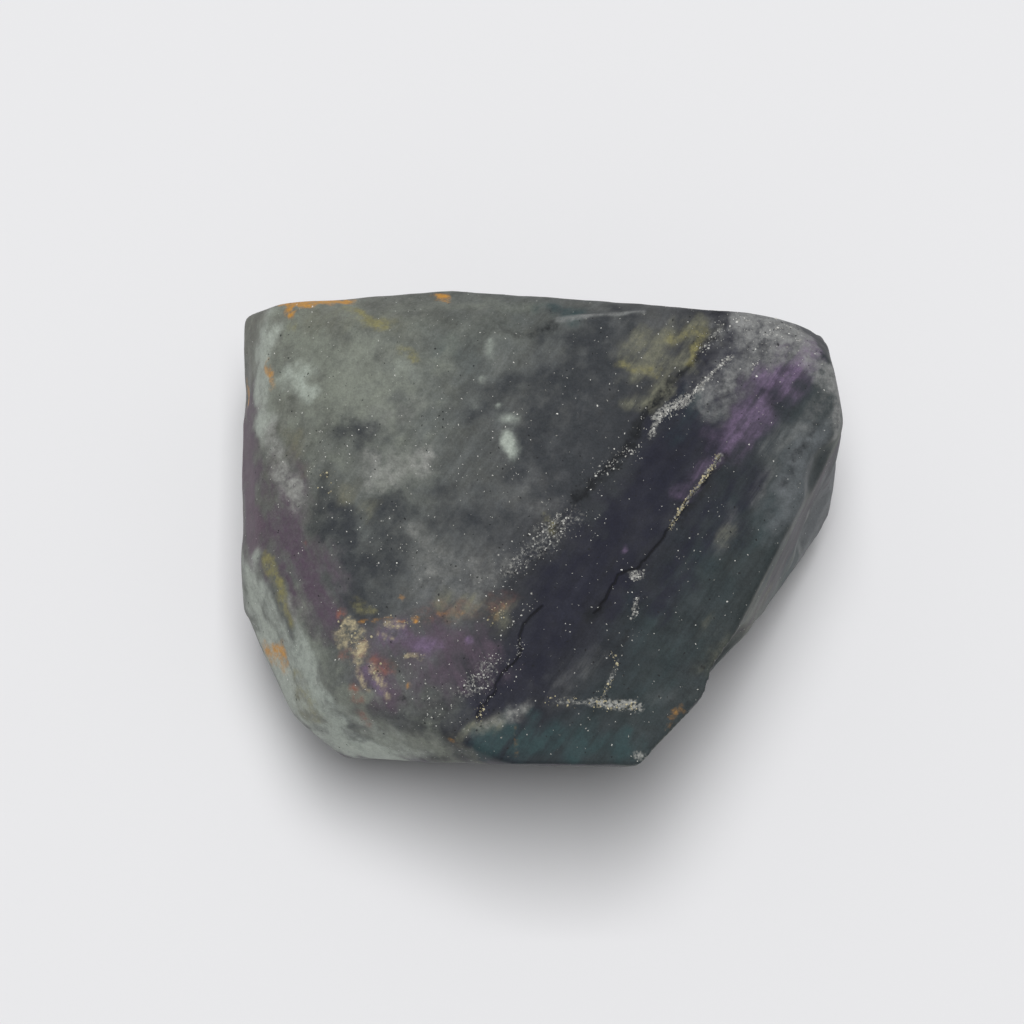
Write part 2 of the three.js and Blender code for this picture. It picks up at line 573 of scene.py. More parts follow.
# %% [markdown]
# ## Painting the masks: clouds
# Fluorite takes its colours in clouds and bands. Each colour has a mask: one number at each
# point of the skin, brushed on by strokes. A stroke has a width in pixels, a strength and a
# trail. The shader breaks up the masks with finer noise, so a stroke only says where a colour is.

# %% Strokes for the clouds of the body
STROKES = {
    "pale": [
        (95, 0.85, [(300, 330), (320, 380), (370, 390)]),
        (60, 0.4, [(395, 330), (420, 360)]),
        (50, 0.2, [(455, 322), (490, 340)]),
        (50, 0.25, [(420, 440), (390, 410)]),
        (44, 0.5, [(390, 445), (402, 485)]),
        (44, 0.45, [(310, 405), (325, 432)]),
        (20, 0.4, [(400, 306), (470, 304), (540, 308)]),
        (46, 0.75, [(345, 700), (380, 735), (440, 746)]),
        (50, 0.3, [(400, 700), (450, 705)]),
        (40, 0.55, [(290, 600), (315, 650), (335, 700)]),
    ],
    "slate": [
        (90, 0.9, [(600, 350), (590, 420), (570, 480)]),
        (55, 0.8, [(540, 395), (535, 470)]),
        (48, 0.95, [(340, 515), (352, 560), (365, 605)]),
        (40, 0.7, [(395, 500), (390, 560)]),
        (34, 0.65, [(345, 430), (380, 450)]),
        (50, 0.6, [(450, 512), (495, 520)]),
        (34, 0.4, [(495, 625), (510, 600)]),
        (34, 0.55, [(500, 395), (470, 415)]),
        (44, 0.5, [(760, 430), (740, 500)]),
    ],
    "indigo": [
        (56, 0.9, [(695, 420), (650, 490), (610, 550), (570, 600)]),
        (46, 0.75, [(570, 600), (545, 640), (520, 670)]),
        (38, 0.75, [(745, 485), (700, 545), (655, 600)]),
        (18, 0.6, [(518, 640), (508, 666)]),
    ],
    "teal": [
        (36, 0.95, [(480, 748), (520, 738), (560, 740)]),
        (30, 0.75, [(560, 740), (625, 744)]),
        (50, 0.26, [(640, 625), (680, 650), (645, 690)]),
        (50, 0.26, [(715, 570), (740, 540), (765, 520)]),
        (30, 0.4, [(702, 405), (680, 430)]),
        (20, 0.6, [(541, 310), (575, 312)]),
        (36, 0.25, [(440, 345), (470, 362)]),
    ],
}
print("strokes:", ", ".join(STROKES))

# %% [markdown]
# ## Painting the masks: purples and whites
# Purple fluorite shows as a broad plum patch and a narrow violet band. The whites are frosted,
# bruised stone, thin veils, clouds inside it, and a crust along two seams where grains have
# settled. Some frost strokes are a painted sheen on the right rim and upper right corner, and one
# thin veil stroke is a painted highlight along the back ridge. The whites go on after the body's
# clouds, because they lie over them.

# %% Strokes for the purples and whites
SEAM = [(731, 356), (715, 370), (701, 387), (684, 401), (670, 409), (658, 418), (650, 437)]
CREAM_SEAM = [(719, 454), (712, 468), (701, 482), (689, 496), (678, 516), (669, 530)]
STROKES |= {
    "plum": [
        (75, 0.85, [(250, 470), (252, 500), (256, 525)]),
        (46, 0.9, [(285, 520), (300, 560), (318, 600)]),
        (34, 0.65, [(300, 605), (326, 618)]),
        (38, 0.8, [(385, 645), (430, 640), (485, 650)]),
        (30, 0.8, [(372, 672), (385, 700)]),
        (46, 0.55, [(430, 672), (485, 660)]),
        (50, 0.7, [(250, 402), (250, 432)]),
        (34, 0.5, [(290, 470), (300, 510)]),
    ],
    "violet": [
        (40, 0.42, [(735, 440), (757, 402), (782, 368)]),
        (24, 0.52, [(732, 438), (758, 404)]),
        (28, 0.8, [(770, 380), (812, 346)]),
        (14, 0.4, [(727, 447), (701, 471), (681, 493)]),
        (20, 0.55, [(395, 638), (425, 645)]),
        (7, 0.7, [(468, 641)]),
        (6, 0.6, [(624, 550)]),
        (14, 0.5, [(370, 668), (378, 690)]),
    ],
    "frost and sheen": [
        # Frost and a painted sheen on the upper right corner.
        (44, 0.9, [(750, 322), (800, 338)]),
        (30, 0.6, [(806, 348), (828, 380)]),
        (40, 0.54, [(785, 345), (745, 362), (712, 395)]),
        (24, 0.3, [(818, 395), (798, 430)]),
        (30, 0.35, [(714, 328), (724, 352)]),
        # Painted sheen: a light rim along the right edge.
        (20, 0.85, [(830, 370), (835, 400), (837, 430)]),
    ],
    "veil and highlight": [
        (22, 0.36, [(785, 432), (757, 499)]),
        (12, 0.3, [(731, 513), (720, 549)]),
        # Painted highlight: a thin light line along the back ridge.
        (5, 0.7, [(555, 319), (600, 315), (644, 312)]),
        (34, 0.28, [(560, 688), (584, 664)]),
        (16, 0.15, [(650, 700), (690, 690)]),
    ],
    "crust": [
        (5, 0.62, SEAM),
        (8, 0.7, [(692, 397), (668, 410), (658, 418)]),
        (4, 0.5, [(722, 325), (700, 352)]),
        (4, 0.6, CREAM_SEAM),
        (7, 0.6, [(719, 454), (708, 472)]),
        (8, 0.8, [(590, 703), (610, 706), (637, 707)]),
        (6, 0.4, [(555, 700), (590, 703)]),
        (8, 0.6, [(632, 576), (640, 575)]),
        (5, 0.5, [(638, 598), (634, 618)]),
        (5, 0.42, [(618, 655), (606, 690), (600, 702)]),
        (26, 0.32, [(465, 686), (492, 664)]),
        (26, 0.32, [(515, 565), (545, 535), (572, 520)]),
        (8, 0.6, [(637, 754), (644, 756)]),
    ],
    "cloud": [
        (32, 0.55, [(378, 470), (412, 464)]),
        (18, 0.85, [(420, 458), (430, 455)]),
        (34, 0.36, [(425, 578), (445, 566)]),
        (36, 0.36, [(468, 592), (492, 570)]),
        (20, 0.4, [(414, 528), (426, 540)]),
        (20, 0.8, [(279, 468), (288, 488), (296, 504)]),
        (20, 0.65, [(264, 412), (276, 450)]),
        (14, 0.45, [(470, 735), (493, 723), (525, 708)]),
        (30, 0.2, [(520, 500), (545, 515)]),
        (26, 0.25, [(375, 425), (412, 405)]),
        (10, 0.5, [(290, 600), (305, 650), (330, 715)]),
    ],
    "mint": [
        (26, 0.8, [(290, 371), (303, 385)]),
        (20, 0.3, [(402, 373), (416, 374)]),
        (9, 0.55, [(490, 340), (493, 352)]),
        (7, 0.6, [(483, 379)]),
        (11, 0.55, [(505, 419), (513, 421)]),
        (13, 0.95, [(503, 440), (513, 450)]),
        (5, 0.6, [(500, 406)]),
        # These three strokes are mint stone and painted light: they lighten the lower left wall,
        # standing in for the white floor's reflection.
        (34, 0.95, [(300, 650), (318, 695), (340, 738)]),
        (36, 1, [(335, 742), (385, 754)]),
        (40, 0.45, [(345, 715), (390, 740)]),
    ],
}
print("strokes:", ", ".join(STROKES))

# %% [markdown]
# ## Painting the masks: walls
# The walls turn away from the light, and the photo shows just a strip of them. Their colours are
# kept apart from the top's, so that they can be lighter without changing it. The pale mint and
# grey on the walls are painted light: a painted reflection of the white floor, which also makes up
# for the light that the walls lack.

# %% Strokes for the walls
STROKES |= {
    # Painted reflection: this pale mint lightens the left walls, standing in for the white floor
    # seen at a grazing angle.
    "wall mint and sheen": [
        (44, 1, [(250, 572), (256, 605), (268, 640)]),
        (56, 1, [(276, 665), (294, 705), (318, 744)]),
        (24, 0.6, [(268, 600), (284, 640), (304, 690), (326, 736)]),
        (36, 0.8, [(340, 748), (375, 754)]),
        (26, 0.5, [(380, 750), (420, 754)]),
        (32, 0.8, [(266, 332), (260, 380), (264, 418)]),
    ],
    "wall plum": [
        (42, 1, [(246, 425), (247, 470), (252, 535)]),
    ],
    # Painted reflection: this pale grey lightens the right wall, standing in for the white floor
    # seen at a grazing angle.
    "wall grey and sheen": [
        (95, 1, [(840, 450), (831, 485), (816, 525)]),
        (36, 0.62, [(814, 436), (802, 480), (782, 525)]),
        (60, 0.3, [(804, 545), (784, 580), (757, 612)]),
    ],
}
print("strokes:", ", ".join(STROKES))

# %% [markdown]
# ## Painting the masks: stains
# Weathering left olive, lime, ochre and rust stains, and cream crumbs. They are crisper than the
# clouds, so their strokes are narrow. The dark strokes are dark lines and painted shade: along the
# zone's edge, the step under a chip and beside seams and creases where shade falls. The dust
# strokes say where pale specks are thick.

# %% Strokes for the stains
STROKES |= {
    "olive": [
        (30, 0.8, [(645, 342), (695, 332)]),
        (28, 0.8, [(630, 362), (680, 362)]),
        (22, 0.75, [(668, 385), (655, 402)]),
        (16, 0.6, [(632, 402), (650, 405)]),
        (24, 0.55, [(293, 440), (303, 468)]),
        (28, 0.5, [(346, 492), (375, 503)]),
        # This stroke is olive stain and painted light: it lightens the steep band on the lower
        # right, standing in for the white floor's reflection.
        (46, 0.35, [(790, 580), (765, 600), (720, 650)]),
        (26, 0.6, [(450, 602), (500, 612)]),
        (20, 0.5, [(460, 735), (495, 720)]),
        (14, 0.5, [(723, 537), (728, 525)]),
        (34, 0.4, [(320, 320), (390, 322)]),
        (30, 0.5, [(296, 690), (308, 715)]),
    ],
    "lime": [
        (14, 0.42, [(668, 338), (700, 332)]),
        (9, 0.5, [(617, 365), (645, 369), (660, 373)]),
        (9, 0.62, [(704, 336), (688, 364)]),
        (14, 0.75, [(349, 310), (367, 320), (386, 325)]),
        (11, 0.7, [(405, 353), (412, 356)]),
        (15, 0.8, [(268, 560), (278, 585), (290, 620)]),
        (12, 0.45, [(357, 602), (370, 608)]),
        (11, 0.55, [(292, 325)]),
        (11, 0.5, [(546, 520), (552, 528)]),
        (26, 0.35, [(299, 682), (308, 700), (315, 715)]),
    ],
    "ochre": [
        (20, 1, [(272, 307), (300, 305), (336, 301)]),
        (14, 1, [(285, 304), (325, 302)]),
        (12, 0.6, [(248, 385), (248, 405)]),
        (11, 0.5, [(268, 362), (272, 385)]),
        (26, 0.6, [(270, 656), (285, 660)]),
        (14, 0.35, [(682, 708), (668, 724)]),
        (5, 0.5, [(361, 622), (386, 620), (401, 622)]),
        (6, 0.65, [(414, 618), (418, 619)]),
        (10, 0.3, [(440, 614), (462, 612)]),
        (10, 0.3, [(492, 620), (500, 606)]),
        (7, 0.5, [(402, 599)]),
        (7, 0.5, [(407, 685)]),
        (7, 0.5, [(452, 739)]),
        (4, 0.4, [(516, 728), (516, 756)]),
        (12, 0.7, [(437, 298), (446, 299)]),
    ],
    "rust": [
        (9, 0.9, [(339, 613), (343, 614)]),
        (14, 0.5, [(346, 655), (362, 645)]),
        (12, 0.55, [(354, 690), (362, 712), (369, 726)]),
        (20, 0.45, [(375, 660), (390, 672)]),
        (22, 0.26, [(420, 612), (470, 610), (505, 602)]),
        (5, 0.4, [(305, 541), (307, 544)]),
    ],
    "cream": [
        (20, 0.7, [(346, 634), (360, 642)]),
        (12, 0.5, [(352, 652), (356, 664)]),
        (9, 1, [(350, 620), (353, 623)]),
        (9, 0.55, [(372, 662), (380, 680), (385, 696)]),
        (6, 0.6, [(360, 672), (366, 690)]),
        (6, 0.8, [(408, 657), (423, 657)]),
        (5, 0.6, [(378, 632), (392, 640)]),
        (7, 0.42, [(385, 625), (400, 628)]),
    ],
    "dark and shade": [
        # Dark lines and painted shade: the zone's edge, the step under the back chip, and the shadow
        # beside the seams and creases.
        (8, 0.6, ZONE_EDGE[:3]),
        (13, 0.8, ZONE_EDGE[2:]),
        (11, 0.6, [(577, 502), (555, 535)]),
        (15, 0.5, [(500, 326), (512, 331), (525, 333), (538, 330), (550, 326)]),
        (10, 0.5, [(628, 632), (618, 648)]),
        (9, 0.5, [(818, 420), (798, 455), (784, 488)]),
        (10, 0.65, [(724, 452), (700, 492), (680, 522)]),
        (11, 0.5, [(402, 698), (406, 704)]),
        (11, 0.5, [(604, 600), (590, 620)]),
        (24, 0.4, [(720, 640), (700, 670), (680, 700)]),
    ],
    "dust": [
        (28, 1, [(515, 565), (545, 535), (575, 520)]),
        (34, 0.9, [(464, 686), (497, 660)]),
        (20, 1, [(600, 474), (628, 446), (644, 420)]),
        (14, 1, [(705, 345), (722, 322)]),
        (40, 0.8, [(730, 322), (800, 335)]),
        (50, 0.6, [(410, 700), (470, 715)]),
        (42, 0.5, [(320, 440), (330, 500)]),
        (24, 0.6, [(500, 690), (480, 720)]),
        (18, 0.6, [(500, 460), (515, 470)]),
        (26, 0.5, [(430, 430), (445, 415)]),
        (34, 0.4, [(360, 520), (420, 560)]),
        (14, 0.9, [(700, 387), (660, 420)]),
        (14, 0.6, [(640, 600), (610, 690)]),
    ],
}
print("strokes:", ", ".join(STROKES))

# %% [markdown]
# ## Painting the masks: unseen sides
# No line of sight reaches the back, the right side or the feet of the walls. The same tints go on
# there, at places in the block, running down from where the top shows them at the rim.

# %% Strokes for the unseen sides
UNSEEN_STROKES = {
    # Painted light: the pale mint lightens the hidden left walls too, making up for the light they
    # lack.
    "wall mint and sheen": [
        (70, 0.5, [(-0.98, -0.4, 0.5), (-0.95, -0.5, 0.3), (-0.85, -0.6, 0.1)]),
        (50, 0.3, [(-1, 0.75, 0.55), (-1, 0.7, 0.2)]),
    ],
    "wall plum": [
        (75, 0.6, [(-1, 0.1, 0.55), (-1, 0.15, 0.35), (-1, 0.05, 0.1)]),
    ],
    "lime": [
        (26, 0.5, [(-0.95, -0.2, 0.45), (-0.95, -0.25, 0.2)]),
    ],
    "pale": [
        (90, 0.6, [(-0.7, 1, 0.6), (-0.6, 1, 0.25)]),
        (60, 0.5, [(-0.5, -1, 0.6), (-0.45, -0.9, 0.3)]),
    ],
    "indigo": [
        (80, 0.8, [(0.5, 1, 0.6), (0.35, 1, 0.1)]),
        (70, 0.7, [(0.45, -0.7, 0.6), (0.4, -0.6, 0.3)]),
    ],
    "violet": [
        (34, 0.6, [(0.75, 1, 0.7), (0.66, 1, 0.3)]),
        (34, 0.6, [(1, 0.5, 0.7), (1, 0.4, 0.45), (1, 0.35, 0.15)]),
    ],
    "veil and highlight": [
        (9, 0.7, [(0.3, 1, 0.75), (0.22, 1, 0.4), (0.18, 1, 0.1)]),
        (9, 0.7, [(0.85, 0.1, 0.75), (0.8, 0.05, 0.4), (0.8, 0, 0.15)]),
    ],
    "plum": [
        (60, 0.6, [(-0.3, 1, 0.6), (-0.38, 1, 0.2)]),
    ],
    "teal": [
        (60, 0.6, [(0.02, 1, 0.6), (-0.1, 1, 0.25)]),
        (80, 0.6, [(0.8, -0.1, 0.55), (0.75, -0.1, 0.3)]),
        (70, 0.6, [(0.1, -1, 0.6), (0.1, -0.9, 0.35)]),
    ],
    "frost and sheen": [
        (60, 0.5, [(1, 0.8, 0.65), (1, 0.72, 0.3)]),
    ],
    "ochre": [
        (20, 0.8, [(-0.65, 1, 0.72), (-0.62, 1, 0.55)]),
        (14, 0.6, [(-1, 0.45, 0.3)]),
    ],
}
print("unseen strokes:", sum(len(strokes) for strokes in UNSEEN_STROKES.values()))

# %% [markdown]
# ## Writing the masks
# Each mask becomes an attribute of the mesh's points, which the shader can read by its name. Two
# more masks come from the shape itself: how deep a point is in a crack, and how much it belongs to
# a side, which fades in as the skin turns from looking up to looking sideways.

# %% Write the masks
SIDE_STARTS = 0.38
SIDE_FADE = 0.3


def write_mask(piece, layer, weights):
    mask = piece.data.attributes.new(layer, "FLOAT", "POINT")
    mask.data.foreach_set("value", weights)


points = places(stone)
shifts = raggedness(points)
for layer, strokes in STROKES.items():
    all_strokes = strokes + UNSEEN_STROKES.get(layer, [])
    write_mask(stone, layer, strongest(points, all_strokes, shifts))
write_mask(stone, "cracked", in_cracks)
looks_up = normals(stone)[:, 2]
write_mask(stone, "side", np.clip((SIDE_STARTS - looks_up) / SIDE_FADE, 0, 1))
print("masks written:", len(STROKES) + 2)

# %% [markdown]
# ## Short names for nodes
# A shader tree built in code soon gets long, so each common node gets a helper of one line. A
# helper takes numbers or other nodes' sockets alike, and returns the socket to go on from.

# %% Node helpers
def rgb(red, green, blue):
    """A colour as seen, 0 to 255, as the linear colour that a shader needs."""
    return (*[((c / 255 + 0.055) / 1.055) ** 2.4 for c in (red, green, blue)], 1)


def add_node(tree, kind, inputs=None, **settings):
    node = tree.nodes.new(kind)
    for name, value in settings.items():
        setattr(node, name, value)
    for name, value in (inputs or {}).items():
        if isinstance(value, bpy.types.NodeSocket):
            tree.links.new(value, node.inputs[name])
        else:
            node.inputs[name].default_value = value
    return node


def maths(tree, operation, a, b=0.0):
    return add_node(tree, "ShaderNodeMath", {0: a, 1: b}, operation=operation).outputs[0]


def vectors(tree, operation, a, b):
    second = "Scale" if operation == "SCALE" else 1
    return add_node(tree, "ShaderNodeVectorMath", {0: a, second: b}, operation=operation).outputs


def blend(tree, factor, a, b, mode="MIX"):
    inputs = {0: factor, 6: a, 7: b}
    node = add_node(tree, "ShaderNodeMix", inputs, data_type="RGBA", blend_type=mode)
    return node.outputs[2]


def spread(tree, value, low_in, high_in, low_out=0.0, high_out=1.0, shape="LINEAR"):
    inputs = {0: value, 1: low_in, 2: high_in, 3: low_out, 4: high_out}
    return add_node(tree, "ShaderNodeMapRange", inputs, interpolation_type=shape).outputs[0]


def noise(tree, where, scale, detail=3.0, rough=0.55):
    inputs = {"Vector": where, "Scale": scale, "Detail": detail, "Roughness": rough}
    return add_node(tree, "ShaderNodeTexNoise", inputs)


def channels(tree, colour):
    return add_node(tree, "ShaderNodeSeparateColor", {0: colour}).outputs


def painted(tree, layer):
    return add_node(tree, "ShaderNodeAttribute", attribute_name=layer).outputs["Fac"]


def millimetres(tree):
    where = add_node(tree, "ShaderNodeTexCoord").outputs["Object"]
    return vectors(tree, "SCALE", where, 1 / MM)[0]


print("node helpers are ready, and mid grey is", [round(c, 3) for c in rgb(128, 128, 128)])

# %% [markdown]
# ## Dissolving a mask
# The masks all get the same treatment, so it is one node group. One noise frays a mask's edge, as
# colour frays in real stone, and another makes it patchy inside. A crisp mask has a narrow edge.

# %% The dissolve group
def dissolve_group():
    """A mask says how much of a colour is at a place, and the noise adds to it or takes away."""
    group = bpy.data.node_groups.new("dissolve", "ShaderNodeTree")
    for name in ("Mask", "Noise", "Inner noise", "Ragged", "Crisp", "Patchy"):
        group.interface.new_socket(name, in_out="INPUT", socket_type="NodeSocketFloat")
    group.interface.new_socket("Mask", in_out="OUTPUT", socket_type="NodeSocketFloat")
    start = add_node(group, "NodeGroupInput").outputs
    evened = spread(group, start["Noise"], 0.3, 0.7, -1.0, 1.0)
    luck = maths(group, "MULTIPLY", evened, start["Ragged"])
    amount = maths(group, "MULTIPLY", start["Mask"], maths(group, "ADD", luck, 1.0))
    begins = maths(group, "MULTIPLY", start["Crisp"], 0.5)
    ends = maths(group, "SUBTRACT", 0.95, maths(group, "MULTIPLY", start["Crisp"], 0.35))
    edge = spread(group, amount, begins, ends, shape="SMOOTHSTEP")
    inner = spread(group, start["Inner noise"], 0.65, 0.35)
    filled = maths(group, "SUBTRACT", 1.0, maths(group, "MULTIPLY", inner, start["Patchy"]))
    add_node(group, "NodeGroupOutput", {"Mask": maths(group, "MULTIPLY", edge, filled)})
    return group


dissolve = dissolve_group()
print("node group:", dissolve.name)

# %% [markdown]
# ## The body colour
# The body changes along one direction, from grey-green through indigo to slate: that is the
# crystal's growth zoning, so it is a ramp along a line through the whole stone, bent by noise. The
# sides also show softer growth bands: noise that is squeezed along the growth direction. The bands
# are lighter than the body, partly as painted light that makes up for the light the steep sides
# lack. Distances in the shader are millimetres.

# %% Zones and bands
ZONING = (0.8274, -0.5619, 0.12)
GROWTH = (0.55, -0.42, 0.72)
BEND_SCALE = 0.16
BEND_REACH = 5.0
BAND_FAST = 0.18
BAND_SLOW = 0.045
ZONES = [
    (-30, rgb(108, 110, 103)),
    (-12, rgb(91, 95, 93)),
    (-1, rgb(78, 80, 82)),
    (1.3, rgb(50, 52, 57)),
    (5, rgb(37, 38, 49)),
    (8.5, rgb(40, 42, 49)),
    (12, rgb(46, 53, 56)),
    (22, rgb(58, 64, 65)),
]
LIFTED_BANDS = [
    (0.3, rgb(64, 64, 76)),
    (0.42, rgb(82, 92, 92)),
    (0.5, rgb(112, 117, 109)),
    (0.58, rgb(92, 86, 96)),
    (0.7, rgb(74, 81, 84)),
]


def material(name):
    made = bpy.data.materials.new(name)
    made.use_nodes = True
    return made, made.node_tree, made.node_tree.nodes["Principled BSDF"]


def colour_ramp(tree, value, stops):
    first, last = stops[0][0], stops[-1][0]
    ramp = add_node(tree, "ShaderNodeValToRGB", {0: spread(tree, value, first, last)})
    marks = ramp.color_ramp.elements
    while len(marks) < len(stops):
        marks.new(0.5)
    for stop, (at, colour) in zip(marks, stops):
        stop.position = (at - first) / (last - first)
        stop.color = colour
    return ramp.outputs["Color"]


def zone_colour(tree, where):
    bend = noise(tree, where, BEND_SCALE, 4.0).outputs["Color"]
    centred = vectors(tree, "SUBTRACT", bend, (0.5, 0.5, 0.5))[0]
    shift = vectors(tree, "SCALE", centred, BEND_REACH)[0]
    bent = vectors(tree, "ADD", where, shift)[0]
    along = vectors(tree, "DOT_PRODUCT", bent, ZONING)["Value"]
    down = ZONING[2] * high.z / MM
    return colour_ramp(tree, maths(tree, "SUBTRACT", along, down), ZONES)


def lifted_band_colour(tree, where):
    """Growth bands, partly painted light: lighter than the body for the dim sides. The noise changes
    fast along the growth, and slowly across it.
    """
    along = vectors(tree, "DOT_PRODUCT", where, GROWTH)["Value"]
    fast = vectors(tree, "SCALE", GROWTH, maths(tree, "MULTIPLY", along, BAND_FAST))[0]
    drawn = vectors(tree, "ADD", vectors(tree, "SCALE", where, BAND_SLOW)[0], fast)[0]
    return colour_ramp(tree, noise(tree, drawn, 1.0, 4.0, 0.55).outputs[0], LIFTED_BANDS)


stone_finish, tree, shader = material("fluorite_stone")
where = millimetres(tree)
zone = zone_colour(tree, where)
lifted_band = lifted_band_colour(tree, where)
print("zones:", len(ZONES), "and bands:", len(LIFTED_BANDS))

# %% [markdown]
# ## Noises to share
# The finish needs noises of several grains: cloudy, spotty, gritty, and two that are drawn out along
# the zones and along the left flank, as the real streaks are. Each is made once and its three
# colour channels serve as three noises. Most of them see heights scaled down a little, so the
# patterns on the walls stand taller than they are wide.

# %% Noises
ALONG_ZONES = (0.5619, 0.8274, 0.0)
ALONG_FLANK = (0.38, -0.92, 0.0)
UPRIGHT = (1.0, 1.0, 0.75)


def drawn_out(tree, where, way, scale, stretch):
    """Noise drawn out along one way, as three separate channels."""
    along = vectors(tree, "DOT_PRODUCT", where, way)["Value"]
    squeeze = vectors(tree, "SCALE", way, maths(tree, "MULTIPLY", along, -stretch))[0]
    drawn = noise(tree, vectors(tree, "ADD", where, squeeze)[0], scale, 6.0, 0.62)
    return channels(tree, drawn.outputs["Color"])


upright = vectors(tree, "MULTIPLY", where, UPRIGHT)[0]
noises = {
    "cloudy": channels(tree, noise(tree, upright, 0.55, 7.0, 0.64).outputs["Color"]),
    "spotty": channels(tree, noise(tree, upright, 1.2, 6.0, 0.66).outputs["Color"]),
    "grainy": channels(tree, noise(tree, where, 4.5, 4.0, 0.6).outputs["Color"]),
    "zoned": drawn_out(tree, upright, ALONG_ZONES, 0.9, 0.84),
    "flank": drawn_out(tree, upright, ALONG_FLANK, 0.9, 0.84),
    "hair": drawn_out(tree, upright, ALONG_ZONES, 3.2, 0.93),
    "fine": channels(tree, noise(tree, upright, 2.2, 5.0, 0.66).outputs["Color"]),
}
cloudy = noises["cloudy"]
fine = noises["fine"]
grit = noise(tree, where, 7.0, 3.0, 0.6).outputs[0]
print("noises:", ", ".join(noises))

# %% [markdown]
# ## Mottling the body
# No patch of stone has one even colour. The body is first warmed in places and then multiplied by
# three of the noises, each a little darker and a little lighter than 1.

# %% Mottle the body
WARM = (1.0, 0.95, 0.86, 1)
BAND_SHARE = 0.6
MOTTLES = {"cloudy": (0.87, 1.13), "zoned": (0.8, 1.2), "hair": (0.88, 1.12)}


def mottle(tree, colour, pattern, darkest, lightest):
    tone = spread(tree, pattern, 0.3, 0.7, darkest, lightest)
    return blend(tree, 1.0, colour, tone, "MULTIPLY")


# On the sides the lighter growth bands go over the body: growth banding and painted light for the
# dim walls.
lifted_band_share = maths(tree, "MULTIPLY", painted(tree, "side"), BAND_SHARE)
colour = blend(tree, lifted_band_share, zone, lifted_band)
warmed = spread(tree, cloudy[2], 0.4, 0.7, 0.0, 0.5)
colour = blend(tree, warmed, colour, WARM, "MULTIPLY")
for name, tones in MOTTLES.items():
    colour = mottle(tree, colour, noises[name][0], *tones)
print("mottles:", ", ".join(MOTTLES))

# %% [markdown]
# ## Tinting by the masks
# Each mask now tints the body in turn, soft clouds first and crisp stains last, as layers of thin
# paint would. Two fine mottles and the dark of the cracks go over them all.

# %% Tint by the masks
CRACK_DARK = rgb(24, 25, 27)
# Each tint has a colour, how ragged, crisp and patchy it is, and the noise that breaks it up.
TINTS = {
    "pale": (rgb(125, 130, 120), 0.45, 0.0, 0.2, "cloudy"),
    "slate": (rgb(52, 55, 59), 0.5, 0.0, 0.2, "cloudy"),
    "indigo": (rgb(34, 35, 47), 0.8, 0.0, 0.25, "zoned"),
    "teal": (rgb(49, 68, 70), 0.8, 0.0, 0.3, "zoned"),
    "plum": (rgb(85, 73, 85), 0.8, 0.0, 0.35, "flank"),
    "violet": (rgb(112, 95, 122), 0.9, 0.0, 0.3, "zoned"),
    # Frost, with a painted sheen on the right rim.
    "frost and sheen": (rgb(136, 137, 136), 0.6, 0.0, 0.3, "spotty"),
    # Thin veils, with a painted highlight along the back ridge.
    "veil and highlight": (rgb(130, 132, 131), 0.9, 0.0, 0.3, "zoned"),
    "cloud": (rgb(142, 143, 139), 0.75, 0.0, 0.4, "spotty"),
    "mint": (rgb(166, 174, 165), 0.4, 0.0, 0.2, "spotty"),
    # Painted reflection on the left walls: a pale mint.
    "wall mint and sheen": (rgb(170, 177, 168), 0.4, 0.0, 0.25, "flank"),
    "wall plum": (rgb(96, 82, 93), 0.3, 0.0, 0.2, "flank"),
    # Painted reflection on the right wall: a pale grey.
    "wall grey and sheen": (rgb(102, 106, 109), 0.3, 0.0, 0.15, "cloudy"),
    "olive": (rgb(112, 112, 97), 0.9, 0.1, 0.5, "zoned"),
    "lime": (rgb(134, 129, 86), 0.9, 0.1, 0.45, "spotty"),
    "ochre": (rgb(196, 140, 54), 0.9, 0.3, 0.35, "spotty"),
    "rust": (rgb(138, 90, 78), 0.9, 0.1, 0.4, "spotty"),
    "cream": (rgb(176, 164, 132), 1.2, 0.2, 0.6, "spotty"),
    "crust": (rgb(160, 160, 155), 1.3, 0.3, 0.5, "grainy"),
    # Dark lines and painted shade in creases and under the back chip.
    "dark and shade": (rgb(28, 30, 33), 0.8, 0.2, 0.3, "spotty"),
}

for turn, (layer, (tint, ragged, crisp, patchy, breaks)) in enumerate(TINTS.items()):
    here = add_node(tree, "ShaderNodeGroup", node_tree=dissolve)
    tree.links.new(painted(tree, layer), here.inputs["Mask"])
    tree.links.new(noises[breaks][turn % 3], here.inputs["Noise"])
    tree.links.new(fine[(turn + 1) % 3], here.inputs["Inner noise"])
    here.inputs["Ragged"].default_value = ragged
    here.inputs["Crisp"].default_value = crisp
    here.inputs["Patchy"].default_value = patchy
    colour = blend(tree, here.outputs["Mask"], colour, tint)
colour = mottle(tree, colour, fine[0], 0.9, 1.1)
colour = mottle(tree, colour, grit, 0.86, 1.14)
colour = blend(tree, painted(tree, "cracked"), colour, CRACK_DARK)
print("tints:", ", ".join(TINTS))

# %% [markdown]
# ## Specks, glints and shaded pinholes
# The skin is sprinkled with pale specks and tiny pinholes, too small to model. The pale specks
# are partly pale grains and partly painted glints, and the pinholes are painted shade, dark dots
# for the shade in tiny pits. A Voronoi texture splits space into random cells. A few cells, more
# of them where the dust mask is strong, show a speck at their middle. A small jitter keeps the
# specks from being round.

# %% Specks and pinholes
# Each kind has cells to a millimetre, the largest size, and how rare it is outside and inside dust.
SPECKS_AND_GLINTS = [(6.0, 0.3, 0.965, 0.68), (1.6, 0.12, 0.88, 0.6)]
SHADED_PINHOLES = (3.0, 0.28, 0.95, 0.5)
PINHOLE_SHIFT = (31.0, 17.0, 5.0)
PINHOLE_SHADE_SHARE = 0.8


